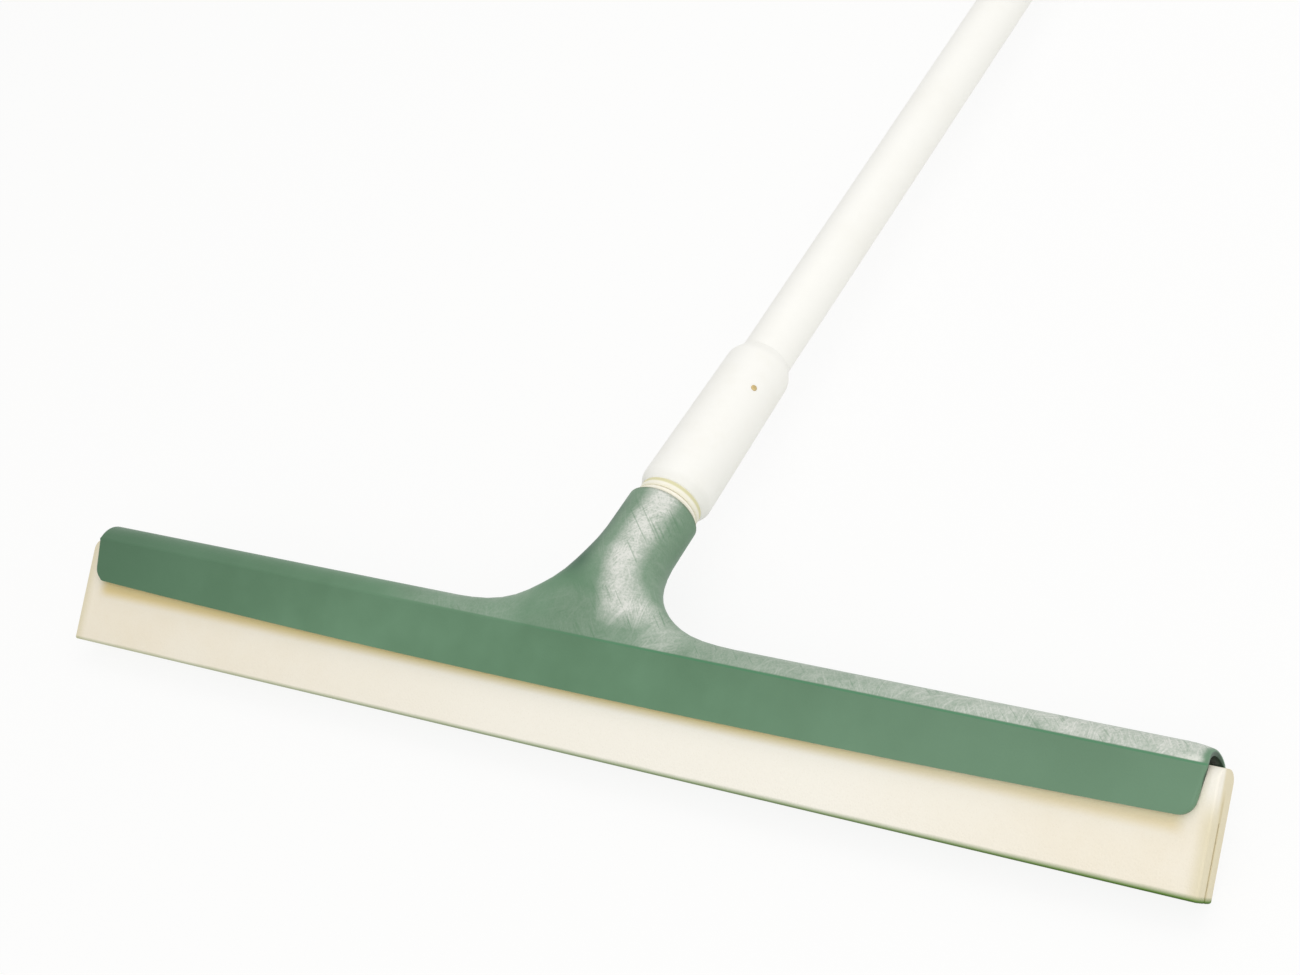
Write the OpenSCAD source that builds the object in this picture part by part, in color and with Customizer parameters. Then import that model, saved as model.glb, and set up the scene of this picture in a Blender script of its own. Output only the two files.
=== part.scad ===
// Floor squeegee: a moulded channel head with a flared, threaded handle socket, a folded
// cellular-rubber blade that slides into the channel from its open ends, and a screw-in handle.
// Stored lying on the floor as it is put down: the blade's rear edge and the handle's upper end
// touch Z = 0. X runs along the blade, +Y towards the handle's end, +Z up.

/* [Blade] */
// Length of the rubber blade
blade_len = 600; // [400:10:900]
// Thickness of one leaf of the folded rubber
leaf_t = 8; // [7:0.25:9]
// Slit between the two leaves
slit_w = 1; // [0.6:0.1:1.6]
// Height of the blade from its tip to the top of its fold
blade_h = 52; // [50:0.5:54]
// Radius of the fold's shoulders
fold_r = 6; // [4:0.5:7]
// Radius of the edges at the tip
tip_r = 1; // [0.5:0.1:2]
// Thickness of the stiffening strip inside the fold
spine_t = 2.4; // [1.6:0.2:4]
// Height of the stiffening strip
spine_h = 14; // [10:1:16]
// Rubber over the stiffening strip, up to the top of the fold
spine_cover = 7; // [5:0.5:9]
// How far the stiffening strip stops short of each end of the blade
spine_short = 10; // [6:1:30]
// Diameter of the pins that hold the fold on its strip
pin_d = 3; // [2:0.5:4]
// Number of pins
pin_count = 7; // [3:1:11]
// Distance from each end of the blade to the first pin
pin_end = 30; // [20:5:60]
// How far the pins' ends lie under the rubber's faces
pin_sink = 1; // [0.5:0.1:2]

/* [Channel] */
// Length of blade that stands out of each end of the channel
blade_out = 5; // [2:0.5:12]
// Wall of the channel
wall = 2.5; // [2:0.1:3.5]
// Gap between the blade and the channel's walls
slide_gap = 0.35; // [0.3:0.05:0.6]
// Height of the crease between wall and crown, over the blade's tip
crease_z = 52; // [50:0.5:56]
// Rise of the crown over the crease
crown_rise = 7.5; // [6:0.5:9]
// Depth of the channel's walls under the crease at the ends
skirt_end = 20.7; // [18:0.1:24]
// Depth of the channel's walls under the crease in the middle
skirt_mid = 24.8; // [24:0.1:28]
// Radius of the lower corners of the walls
corner_r = 6; // [2:0.5:9]
// How far the ends of the walls lean in at the bottom
end_lean = 2.5; // [0:0.5:5]
// Radius of the bead along each inner wall that keys the blade
bead_r = 1.6; // [1.2:0.1:2]
// Depth of the bead's centre inside the wall
bead_set = 0.4; // [0.2:0.1:0.8]
// Height of the beads under the crease
bead_drop = 12; // [9:0.5:14]

/* [Socket] */
// Angle between the handle and the blade's normal
handle_angle = 54; // [48:1:60]
// Length of the socket from the crown to its rim
socket_len = 68.5; // [64:0.5:90]
// Outer diameter of the socket at its rim
socket_d = 35.4; // [34:0.2:38.4]
// Angle at which the socket widens below its rim
socket_draft = 0.5; // [0:0.1:8]
// Wall of the socket
socket_wall = 4.35; // [3.95:0.05:4.95]
// Bevel around the socket's rim
rim_edge = 1; // [0.5:0.1:1.5]
// Depth of the socket's bore
socket_depth = 42; // [38:1:46]
// Radius of the flare that carries the socket into the crown
flare_r = 47.5; // [42:0.5:52]
// Length over which the socket leans back from the crown
lean_len = 10; // [8:1:20]
// Length over which the socket grows to its full depth
swell_len = 28; // [24:1:40]
// How far the flare's foot lies inside the crown's faces
flare_set = 0.5; // [0.3:0.1:1]

/* [Thread] */
// Rise of the thread in one turn
thread_pitch = 6; // [5.5:0.1:7]
// Height of the thread's ridges
thread_h = 1.75; // [1.4:0.05:2]
// Width of a ridge at its foot
thread_foot = 3; // [2.6:0.1:3.2]
// Width of a ridge at its crest
thread_crest = 1.6; // [1.2:0.1:2]
// Turns of each ridge
thread_turns = 3.5; // [2.5:0.5:4]
// Gap between a ridge's crest and the wall it faces
thread_gap = 0.5; // [0.4:0.05:0.8]
// Distance from the socket's rim to the ridges
thread_in = 8; // [6:0.5:10]
// Length of plain spigot past the thread
pilot_len = 6; // [4:0.5:9]
// Depth of a ridge's foot in the wall that carries it
thread_root = 0.6; // [0.4:0.1:1]

/* [Neck] */
// Thickness of the sealing ring on the socket's rim
ring_t = 2.8; // [2:0.1:3.4]
// Outer diameter of the sealing ring
ring_d = 31.6; // [30:0.2:33]
// Gap between the ring and its neighbours
ring_gap = 0.3; // [0.3:0.05:0.5]
// Thickness of the screw plug's collar
collar_t = 4.6; // [3:0.2:6]
// Diameter of the screw plug's collar
collar_d = 31; // [29:0.2:33]
// Length of the screw plug past the rivets
plug_past = 10; // [6:1:20]

/* [Ferrule] */
// Length of the ferrule
ferrule_len = 95.5; // [80:0.5:120]
// Diameter of the ferrule over its lower bevel
ferrule_low_d = 35.6; // [34:0.2:38]
// Diameter of the ferrule under its upper bevel
ferrule_top_d = 32.8; // [31:0.2:34]
// Length of the lower bevel
low_bevel = 4.5; // [3:0.5:7]
// Length of the upper bevel
top_bevel = 6; // [4:0.5:8]
// Thickness of the ferrule's floor under the tube
ferrule_floor = 7; // [5:0.5:8]
// Wall left at the ferrule's mouth
mouth_wall = 0.5; // [0.4:0.1:1.2]
// Diameter of the rivets' shanks
rivet_d = 2; // [1.6:0.2:2.6]
// Diameter of the rivets' heads
rivet_head_d = 3; // [2.8:0.2:5]
// Height of the rivets' heads
rivet_head_h = 0.5; // [0.3:0.1:1]
// Distance of the rivets under the ferrule's mouth
rivet_drop = 28; // [14:1:36]
// Depth of the rivets in the plug
rivet_bite = 4; // [2:0.5:6]
// Turn of the rivets about the handle
rivet_turn = 50; // [0:5:90]

/* [Tube] */
// Length of the tube
tube_len = 1180; // [800:10:1500]
// Outer diameter of the tube
tube_d = 24.2; // [22:0.2:25]
// Wall of the tube
tube_wall = 1.2; // [0.8:0.1:1.6]
// Thickness of the plastic cover on the tube
cover_t = 0.6; // [0.4:0.1:1]
// Gap between pieces that are pushed together
push_gap = 0.05; // [0.03:0.01:0.1]

/* [Hanging cap] */
// Length of the cap's plug inside the tube
cap_plug = 30; // [20:1:50]
// Length of the cap's rim past the tube
cap_rim = 6; // [4:0.5:10]
// Radius of the rim's edge
rim_r = 2; // [1:0.5:3]
// Length of the hanging tab past the rim
tab_len = 30; // [26:1:40]
// Width of the tab
tab_w = 22; // [18:0.5:24]
// Thickness of the tab
tab_t = 12; // [8:0.5:14]
// Diameter of the hanging hole
hang_d = 10; // [6:0.5:12]

/* [Hidden] */
$fn = 64;

// Blade and channel
blade_t = 2 * leaf_t + slit_w;
chan_in = blade_t / 2 + slide_gap;
chan_out = chan_in + wall;
chan_len = blade_len - 2 * blade_out;
crown_z = crease_z + crown_rise;
crown_r = (chan_out * chan_out + crown_rise * crown_rise) / (2 * crown_rise);
crown_mid = crown_z - crown_r;
low_z = crease_z - skirt_mid;
end_z = crease_z - skirt_end;
bead_z = crease_z - bead_drop;
spine_top = blade_h - spine_cover;
spine_z = spine_top - spine_h;
spine_len = blade_len - 2 * spine_short;
pin_z = spine_z + spine_h / 2;
pin_step = (blade_len - 2 * pin_end) / (pin_count - 1);
edge_steps = 24;
corner_steps = 6;

// Handle stations, along its axis from the point where it meets the crown's ridge
bore_r = socket_d / 2 - socket_wall;
bore_low = socket_len - socket_depth;
core_r = bore_r - thread_h - thread_gap;
thread_top = socket_len - thread_in;
thread_len = thread_turns * thread_pitch;
spigot_low = thread_top - thread_len - pilot_len;
ring_low = socket_len + ring_gap;
ring_top = ring_low + ring_t;
collar_low = ring_top + ring_gap;
collar_top = collar_low + collar_t;
collar_skin = collar_t / 4;
ferrule_low = collar_top;
ferrule_top = ferrule_low + ferrule_len;
tube_low = ferrule_low + ferrule_floor;
tube_top = tube_low + tube_len;
cover_r = tube_d / 2 + push_gap + cover_t;
sleeve_r = cover_r + push_gap;
tube_in = tube_d / 2 - tube_wall;
plug_r = tube_in - push_gap;
rivet_z = ferrule_top - rivet_drop;
plug_top = rivet_z + plug_past;
rim_top = tube_top + cap_rim;
tab_top = rim_top + tab_len;
hang_z = tab_top - tab_w / 2;

// Lie of the part: a line that touches the blade's rear edge and the cap's rim
end_y = (rim_top - rim_r) * cos(handle_angle) + (cover_r - rim_r) * sin(handle_angle);
end_h = crown_z + (rim_top - rim_r) * sin(handle_angle) - (cover_r - rim_r) * cos(handle_angle);
tip_y = blade_t / 2 - tip_r;
reach = sqrt(pow(end_y - tip_y, 2) + pow(end_h - tip_r, 2));
lie = atan2(end_h - tip_r, end_y - tip_y) - asin((rim_r - tip_r) / reach);
slope = handle_angle - lie;
floor_h = -tip_y * sin(lie) + tip_r * cos(lie) - tip_r;
near_y = -tip_y * cos(lie) + tip_r * sin(lie) - tip_r;
far_y = crown_z * sin(lie) + tab_top * cos(slope) + tab_t / 2 * sin(slope);

// Flare: rings of points about the socket's axis, from inside the crown to the rim
flare_rings = 15;
flare_points = 48;
flare_root = [-crown_rise, 0];
flare_rise = [for (i = [1 : flare_rings]) flare_r * pow(i / flare_rings, 2)];
flare_s = concat(flare_root, flare_rise, [socket_len - rim_edge, socket_len]);

function share(s, length) = max(0, min(1, s / length));
function socket_r(s) =
    socket_d / 2 + (socket_len - max(0, s)) * tan(socket_draft) - max(0, s + rim_edge - socket_len);
function half_x(s) =
    let (d = flare_r - max(0, min(flare_r, s)))
    socket_r(s) + flare_r - sqrt(flare_r * flare_r - d * d);
function half_y(s) =
    let (foot = chan_out - flare_set)
    foot + (socket_r(s) - foot) * share(s, swell_len);
function flare_ring(s) =
    let (
        leant = share(s, lean_len),
        tilt = (90 - handle_angle) * leant,
        y = max(0, s) * cos(handle_angle),
        z = crown_z - flare_set * (1 - leant) + (s < 0 ? s : s * sin(handle_angle))
    )
    [for (i = [0 : flare_points - 1])
        let (a = 360 * i / flare_points, q = half_y(s) * sin(a))
        [half_x(s) * cos(a), y + q * cos(tilt), z - q * sin(tilt)]];

// Faces of a skin over rings of n points, closed at both ends
function skin_faces(n, rings) = concat(
    [[for (i = [0 : n - 1]) i]],
    [for (k = [0 : rings - 2], i = [0 : n - 1])
        [k * n + i, (k + 1) * n + i, k * n + (i + 1) % n]],
    [for (k = [0 : rings - 2], i = [0 : n - 1])
        [(k + 1) * n + i, (k + 1) * n + (i + 1) % n, k * n + (i + 1) % n]],
    [[for (i = [n - 1 : -1 : 0]) (rings - 1) * n + i]]
);

// Thread ridge: foot radius, crest radius, height of the ridge's middle at its start
turn_steps = 30;
run_out = 4;
function ridge_ring(k, steps, foot, crest, start) =
    let (
        a = 360 * k / turn_steps,
        z = start + thread_pitch * k / turn_steps,
        grow = min(1, (min(k, steps - k) + 1) / run_out),
        tip = foot + (crest - foot) * grow
    )
    [for (p = [[foot, -thread_foot], [tip, -thread_crest], [tip, thread_crest], [foot, thread_foot]])
        [p[0] * cos(a), p[0] * sin(a), z + p[1] / 2]];

module ridge(foot, crest, start) {
    steps = round(thread_turns * turn_steps);
    polyhedron(
        [for (k = [0 : steps]) each ridge_ring(k, steps, foot, crest, start)],
        crest > foot
            ? [for (f = skin_faces(4, steps + 1)) [for (i = [len(f) - 1 : -1 : 0]) f[i]]]
            : skin_faces(4, steps + 1)
    );
}

// Lays a piece that is drawn with the blade upright, tip at Z = 0, on the floor
module laid() {
    translate([0, -(near_y + far_y) / 2, -floor_h])
        rotate([-lie, 0, 0])
            children();
}

// Stands a piece on the handle's axis
module on_handle() {
    laid()
        translate([0, 0, crown_z])
            rotate([handle_angle - 90, 0, 0])
                children();
}

// Runs a Y-Z outline along the blade
module along(length) {
    rotate([90, 0, 90])
        linear_extrude(length, center = true)
            children();
}

module channel_outer() {
    translate([-chan_out, low_z])
        square([2 * chan_out, skirt_mid]);
    intersection() {
        translate([0, crown_mid])
            circle(crown_r);
        translate([-chan_out, crease_z - wall])
            square([2 * chan_out, 2 * crown_rise]);
    }
}

module channel_inner() {
    translate([-chan_in, low_z - wall])
        square([2 * chan_in, crown_mid - low_z + wall]);
    intersection() {
        translate([0, crown_mid])
            circle(crown_r - wall);
        translate([-chan_in, crown_mid - wall])
            square([2 * chan_in, 2 * crown_r]);
    }
}

module beads(r) {
    for (side = [-1, 1])
        translate([side * (chan_in + bead_set), bead_z])
            circle(r);
}

// Front outline of the channel: an arched lower edge, rounded corners, ends that lean in
function skirt_edge(x) = low_z + (end_z - low_z) * pow(2 * x / chan_len, 2);
foot_x = chan_len / 2 - end_lean;
module channel_front() {
    flat = foot_x - corner_r;
    mid_z = skirt_edge(flat) + corner_r;
    arch = [for (i = [-edge_steps : edge_steps])
        let (x = flat * i / edge_steps) [x, skirt_edge(x)]];
    right = [for (i = [1 : corner_steps])
        let (a = 90 * i / corner_steps) [flat + corner_r * sin(a), mid_z - corner_r * cos(a)]];
    top = [[chan_len / 2, crease_z], [chan_len / 2, crown_z + wall]];
    half = concat(right, top);
    left = [for (i = [len(half) - 1 : -1 : 0]) [-half[i][0], half[i][1]]];
    polygon(concat(arch, half, left));
}

module flare() {
    polyhedron(
        [for (s = flare_s) each flare_ring(s)],
        skin_faces(flare_points, len(flare_s))
    );
}

module head_body() {
    color("#5f8a6c") {
        laid()
            difference() {
                union() {
                    intersection() {
                        along(chan_len)
                            channel_outer();
                        rotate([90, 0, 0])
                            linear_extrude(4 * chan_out, center = true)
                                channel_front();
                    }
                    flare();
                }
                along(chan_len + 2 * wall)
                    difference() {
                        channel_inner();
                        beads(bead_r);
                    }
                translate([0, 0, crown_z])
                    rotate([handle_angle - 90, 0, 0])
                        translate([0, 0, bore_low])
                            cylinder(r = bore_r, h = socket_depth + wall);
            }
        on_handle()
            ridge(bore_r + thread_root, bore_r - thread_h, thread_top - thread_len + thread_pitch / 2);
    }
}

module blade_outline() {
    low = [blade_t / 2 - tip_r, tip_r];
    high = [blade_t / 2 - fold_r, blade_h - fold_r];
    translate([-blade_t / 2, tip_r])
        square([blade_t, high[1] - tip_r]);
    translate([-low[0], 0])
        square([2 * low[0], blade_h - fold_r]);
    translate([-high[0], tip_r])
        square([2 * high[0], blade_h - tip_r]);
    for (side = [-1, 1]) {
        translate([side * low[0], low[1]])
            circle(tip_r);
        translate([side * high[0], high[1]])
            circle(fold_r);
    }
}

// Pins across the fold, in a row along the blade
module pin_row(r, length) {
    for (i = [0 : pin_count - 1])
        translate([pin_end - blade_len / 2 + i * pin_step, 0, pin_z])
            rotate([90, 0, 0])
                cylinder(r = r, h = length, center = true);
}

module blade_rubber() {
    color("#efe9d8")
        laid()
            difference() {
                along(blade_len)
                    difference() {
                        blade_outline();
                        translate([-slit_w / 2, -tip_r])
                            square([slit_w, spine_z + 2 * tip_r]);
                        beads(bead_r + slide_gap);
                    }
                along(spine_len + 2 * push_gap)
                    translate([-spine_t / 2 - push_gap, spine_z - push_gap])
                        square([spine_t + 2 * push_gap, spine_h + 2 * push_gap]);
                pin_row(pin_d / 2 + push_gap, blade_t + 2 * wall);
            }
}

module blade_spine() {
    color("#8f9596")
        laid()
            difference() {
                along(spine_len)
                    translate([-spine_t / 2, spine_z])
                        square([spine_t, spine_h]);
                pin_row(pin_d / 2 + push_gap, blade_t);
            }
}

module blade_pins() {
    color("#b9bdbd")
        laid()
            pin_row(pin_d / 2, blade_t - 2 * pin_sink);
}

module neck_ring() {
    color("#e6d9a6")
        on_handle()
            translate([0, 0, ring_low])
                difference() {
                    cylinder(d = ring_d, h = ring_t);
                    translate([0, 0, -ring_t])
                        cylinder(r = core_r + ring_gap, h = 3 * ring_t);
                }
}

// Shanks of the two rivets, square to the handle's axis
module rivet_shanks(r) {
    for (side = [0, 180])
        translate([0, 0, rivet_z])
            rotate([0, 90, side - 90 + rivet_turn])
                translate([0, 0, plug_r - rivet_bite])
                    cylinder(r = r, h = ferrule_low_d / 2 - plug_r + rivet_bite);
}

module screw_plug() {
    color("#f4efdb")
        on_handle() {
            translate([0, 0, spigot_low])
                cylinder(r = core_r, h = collar_top - collar_skin - spigot_low);
            translate([0, 0, collar_low])
                cylinder(d = collar_d, h = collar_t);
            ridge(core_r - thread_root, core_r + thread_h, thread_top - thread_len);
            difference() {
                translate([0, 0, collar_low + collar_skin])
                    cylinder(r = plug_r, h = plug_top - collar_low - collar_skin);
                rivet_shanks(rivet_d / 2 + push_gap);
            }
        }
}

module ferrule() {
    collar_r = collar_d / 2;
    low_r = ferrule_low_d / 2;
    top_r = ferrule_top_d / 2;
    color("#fafaf6")
        on_handle()
            difference() {
                rotate_extrude()
                    polygon([
                        [plug_r + push_gap, ferrule_low],
                        [collar_r, ferrule_low],
                        [low_r, ferrule_low + low_bevel],
                        [top_r, ferrule_top - top_bevel],
                        [sleeve_r + mouth_wall, ferrule_top],
                        [sleeve_r, ferrule_top],
                        [sleeve_r, tube_low],
                        [plug_r + push_gap, tube_low]
                    ]);
                rivet_shanks(rivet_d / 2 + push_gap);
            }
}

// Radius of the ferrule at the lower edge of a rivet's head, which rests there
rivet_low = ferrule_top - top_bevel - rivet_z + rivet_head_d / 2;
rivet_share = rivet_low / (ferrule_len - top_bevel - low_bevel);
rivet_seat = ferrule_top_d / 2 + (ferrule_low_d - ferrule_top_d) / 2 * rivet_share;
module ferrule_rivets() {
    reach_out = rivet_seat + rivet_head_h;
    color("#cdb98c")
        on_handle()
            for (side = [0, 180])
                translate([0, 0, rivet_z])
                    rotate([0, 90, side - 90 + rivet_turn]) {
                        translate([0, 0, plug_r - rivet_bite])
                            cylinder(d = rivet_d, h = reach_out - plug_r + rivet_bite);
                        translate([0, 0, rivet_seat])
                            cylinder(d = rivet_head_d, h = rivet_head_h);
                    }
}

module pipe(outer, inner) {
    difference() {
        translate([0, 0, tube_low])
            cylinder(r = outer, h = tube_len);
        translate([0, 0, tube_low - wall])
            cylinder(r = inner, h = tube_len + 2 * wall);
        rivet_shanks(rivet_d / 2 + push_gap);
    }
}

module handle_tube() {
    color("#c9cccd")
        on_handle()
            pipe(tube_d / 2, tube_in);
}

module tube_cover() {
    color("#fbfbf8")
        on_handle()
            pipe(cover_r, tube_d / 2 + push_gap);
}

module hang_cap() {
    color("#f3f2ea")
        on_handle()
            difference() {
                union() {
                    translate([0, 0, tube_top - cap_plug])
                        cylinder(r = plug_r, h = cap_plug + cap_rim / 2);
                    rotate_extrude() {
                        translate([0, tube_top])
                            square([cover_r - rim_r, cap_rim]);
                        translate([0, tube_top])
                            square([cover_r, cap_rim - rim_r]);
                        translate([cover_r - rim_r, rim_top - rim_r])
                            circle(rim_r);
                    }
                    rotate([90, 0, 0])
                        linear_extrude(tab_t, center = true) {
                            translate([-tab_w / 2, rim_top - rim_r])
                                square([tab_w, hang_z - rim_top + rim_r]);
                            translate([0, hang_z])
                                circle(d = tab_w);
                        }
                }
                translate([0, 0, hang_z])
                    rotate([90, 0, 0])
                        cylinder(d = hang_d, h = 2 * tab_t, center = true);
            }
}

head_body();
blade_rubber();
blade_spine();
blade_pins();
neck_ring();
screw_plug();
ferrule();
ferrule_rivets();
handle_tube();
tube_cover();
hang_cap();
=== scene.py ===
import math

import bmesh
import bpy
from mathutils import Matrix, Vector


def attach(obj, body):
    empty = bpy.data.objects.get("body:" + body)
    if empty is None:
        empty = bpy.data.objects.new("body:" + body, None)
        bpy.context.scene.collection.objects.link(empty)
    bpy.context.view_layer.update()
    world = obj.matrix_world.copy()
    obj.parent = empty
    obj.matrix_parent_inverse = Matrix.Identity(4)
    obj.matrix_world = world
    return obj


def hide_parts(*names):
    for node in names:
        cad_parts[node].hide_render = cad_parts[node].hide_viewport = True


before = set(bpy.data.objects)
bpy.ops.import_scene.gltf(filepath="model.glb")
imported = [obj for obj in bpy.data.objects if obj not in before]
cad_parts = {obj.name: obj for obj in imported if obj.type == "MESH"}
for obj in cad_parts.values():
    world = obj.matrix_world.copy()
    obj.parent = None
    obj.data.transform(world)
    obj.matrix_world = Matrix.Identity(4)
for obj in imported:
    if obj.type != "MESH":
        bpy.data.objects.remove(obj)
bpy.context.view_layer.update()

scene = bpy.context.scene

# Sizes in millimetres and angles, as in the part's source.
BLADE_LEN, BLADE_T, BLADE_H = 600, 17, 52
LEAF_SLIT, SLIT_TOP, FOLD_R, TIP_R = 1, 31, 6, 1
CHAN_LEN, CHAN_IN, CHAN_OUT, WALL = 590, 8.85, 11.35, 2.5
CREASE_Z, CROWN_Z, CROWN_R = 52, 59.5, 12.34
LOW_Z, END_Z, CORNER_R, END_LEAN = 27.2, 31.3, 6, 2.5
BEAD_Z, BEAD_R, BEAD_SET = 40, 1.6, 0.4
HANDLE_ANGLE, SOCKET_DRAFT = math.radians(54), math.radians(0.5)
SOCKET_R, SOCKET_LEN, RIM_EDGE, BORE_R = 17.7, 68.5, 1, 13.35
FLARE_R, FLARE_SET, LEAN_LEN, SWELL_LEN = 47.5, 0.5, 10, 28
CORE_R, SPIGOT_LOW, THREAD_LOW, THREAD_PITCH, THREAD_TURNS = 11.1, 33.5, 39.5, 6, 3.5
THREAD_H, THREAD_ROOT, THREAD_FOOT, THREAD_CREST = 1.75, 0.6, 3, 1.6
RING_LOW, RING_TOP, RING_R, RING_GAP = 68.8, 71.6, 15.8, 0.3
COLLAR_LOW, COLLAR_TOP, COLLAR_R = 71.9, 76.5, 15.5
PLUG_R, PLUG_TOP, PUSH_GAP = 10.85, 154, 0.05
FERRULE_TOP, FERRULE_LOW_R, FERRULE_TOP_R = 172, 17.8, 16.4
LOW_BEVEL, TOP_BEVEL, MOUTH_WALL = 4.5, 6, 0.5
TUBE_LOW, TUBE_TOP, COVER_R, COVER_IN, SLEEVE_R = 83.5, 1263.5, 12.75, 12.15, 12.8
RIVET_Z, RIVET_SEAT, RIVET_END, RIVET_TURN = 144, 16.8, 6.85, math.radians(-40)
RIVET_R, RIVET_HEAD_R, RIVET_HEAD_H = 1, 1.5, 0.5
CAP_LOW, RIM_TOP, HANG_Z, HANG_R = 1233.5, 1269.5, 1288.5, 5
TAB_R, TAB_T, TAB_FOOT = 11, 12, 5
CROWN_MID = CROWN_Z - CROWN_R
CHAN_END, BLADE_END = CHAN_LEN / 2, BLADE_LEN / 2

# Sizes in millimetres and counts of steps, for what is drawn finer here than in the source.
CREASE_BEAD = ((0, -1.2), (0.3, -0.7), (0.2, 0.2))  # out from the wall, up from the crease
CROWN_SPRING, ARCH_STEPS = math.radians(62), 16
OUTER_STEPS, NECK_STEPS = 12, 10
OPENING_X, FOOT_X, FOOT_Y = 75, 68, 10.3
FLARE_STEPS = (0.8, 2.2, 4.2, 7, 10.5, 14.5, 19.5, 25, 31, 38, 45, 52, 58, 63)
BLEND_LEN, BLEND_ROUNDS = 9, 10
WORN_STEPS, WORN_LEN = (13, 9, 5.5, 2.5), 13
WORN_DOWN, WORN_BACK, WORN_LOW_SHARE = 1.3, 1.0, 0.3
SOCKET_SKIN, BORED_FROM = 1.5, 30
END_EDGE, CUT_EDGE, BEAD_SHORT = 1.4, 1.8, 4
END_INSETS, MIDDLE_INSET, BLADE_STEPS = (0, 3, 6, 10), 20, 20
GROOVE_HALF, GROOVE_DEEP, FREE_END = 1.9, 1.4, 7
WAVE_SHARE, WAVE_SHORT, WAVE_LONG = 0.018, 31, 83
THREAD_STEPS, HOLE_STEPS = 112, 48
RIVET_BRIM_H, RIVET_DOME_R = 0.25, 0.8
TOUCH, HAIR = 0.001, 0.01  # as good as touching

# Head pieces are drawn with the blade upright, its tip at z = 0, and laid on the floor by LAID.
# Handle pieces are drawn round the z axis, from where the handle meets the crown, and set by
# HANDLE.
LIE = math.radians(55.25478)
LAID = (
    Matrix.Translation((0, -0.6717475, 0.00659278))
    @ Matrix.Rotation(-LIE, 4, "X")
    @ Matrix.Scale(0.001, 4)
)
AXIS = Matrix.Translation((0, 0, CROWN_Z)) @ Matrix.Rotation(HANDLE_ANGLE - math.pi / 2, 4, "X")
HANDLE = LAID @ AXIS

# How a mark changes over its stretch.
SOFTLY, EVENLY = "SMOOTHSTEP", "LINEAR"


def only(geom, kind):
    return [g for g in geom if isinstance(g, kind)]


def round_corners(bm, verts, radius, segments):
    bmesh.ops.bevel(
        bm, geom=verts, offset=radius, offset_type="OFFSET", affect="VERTICES",
        segments=segments, profile=0.5, material=-1,
    )


def turned(outline, rounds=(), closed=True, steps=72):
    """Spins an outline of (radius, height) points; rounds gives corners by index, with a radius."""
    bm = bmesh.new()
    points = [bm.verts.new((r, 0, z)) for r, z in outline]
    for a, b in zip(points, points[1:] + (points[:1] if closed else [])):
        bm.edges.new((a, b))
    for index, radius in rounds:
        round_corners(bm, [points[index]], radius, 4)
    bmesh.ops.spin(
        bm, geom=bm.verts[:] + bm.edges[:], cent=(0, 0, 0), axis=(0, 0, 1), dvec=(0, 0, 0),
        angle=2 * math.pi, steps=steps, use_merge=True,
    )
    bmesh.ops.remove_doubles(bm, verts=bm.verts, dist=TOUCH)
    bmesh.ops.recalc_face_normals(bm, faces=bm.faces)
    return bm


def set_down(name, bm, place, material, body, node, edge=0.0, sharp=35):
    """Puts a drawn piece in its place and gives it its finish, its body and its soft edges."""
    bmesh.ops.transform(bm, matrix=place, verts=bm.verts)
    mesh = bpy.data.meshes.new(name)
    bm.to_mesh(mesh)
    bm.free()
    mesh.shade_smooth()
    mesh.set_sharp_from_angle(angle=math.radians(sharp))
    mesh.materials.append(material)
    piece = bpy.data.objects.new(name, mesh)
    scene.collection.objects.link(piece)
    if edge:
        soft = piece.modifiers.new("soft_edges", "BEVEL")
        soft.width = edge * 0.001
        soft.segments = 3
        soft.limit_method = "ANGLE"
        soft.angle_limit = math.radians(sharp)
        soft.harden_normals = True
    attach(piece, body)
    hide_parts(node)
    return piece


def linear(code):
    """An sRGB hex colour as linear RGBA."""
    parts = [int(code[i : i + 2], 16) / 255 for i in (1, 3, 5)]
    return [c / 12.92 if c <= 0.04045 else ((c + 0.055) / 1.055) ** 2.4 for c in parts] + [1.0]


def add(tree, kind, inputs=None, **settings):
    """Adds a node; an input takes a number, a colour, or another node's output."""
    node = tree.nodes.new(kind)
    for name, value in settings.items():
        setattr(node, name, value)
    for key, value in (inputs or {}).items():
        if isinstance(value, bpy.types.NodeSocket):
            tree.links.new(value, node.inputs[key])
        else:
            node.inputs[key].default_value = value
    return node


def start(name):
    material = bpy.data.materials.new(name)
    material.use_nodes = True
    material.node_tree.nodes.clear()
    return material, material.node_tree


def millimetres(tree, place):
    """Object coordinates as millimetres of a piece's own drawing."""
    spot, turn, size = place.inverted().decompose()
    return add(tree, "ShaderNodeMapping", {
        "Vector": add(tree, "ShaderNodeTexCoord").outputs["Object"],
        "Location": spot, "Rotation": turn.to_euler(), "Scale": size,
    }).outputs["Vector"]


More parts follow.
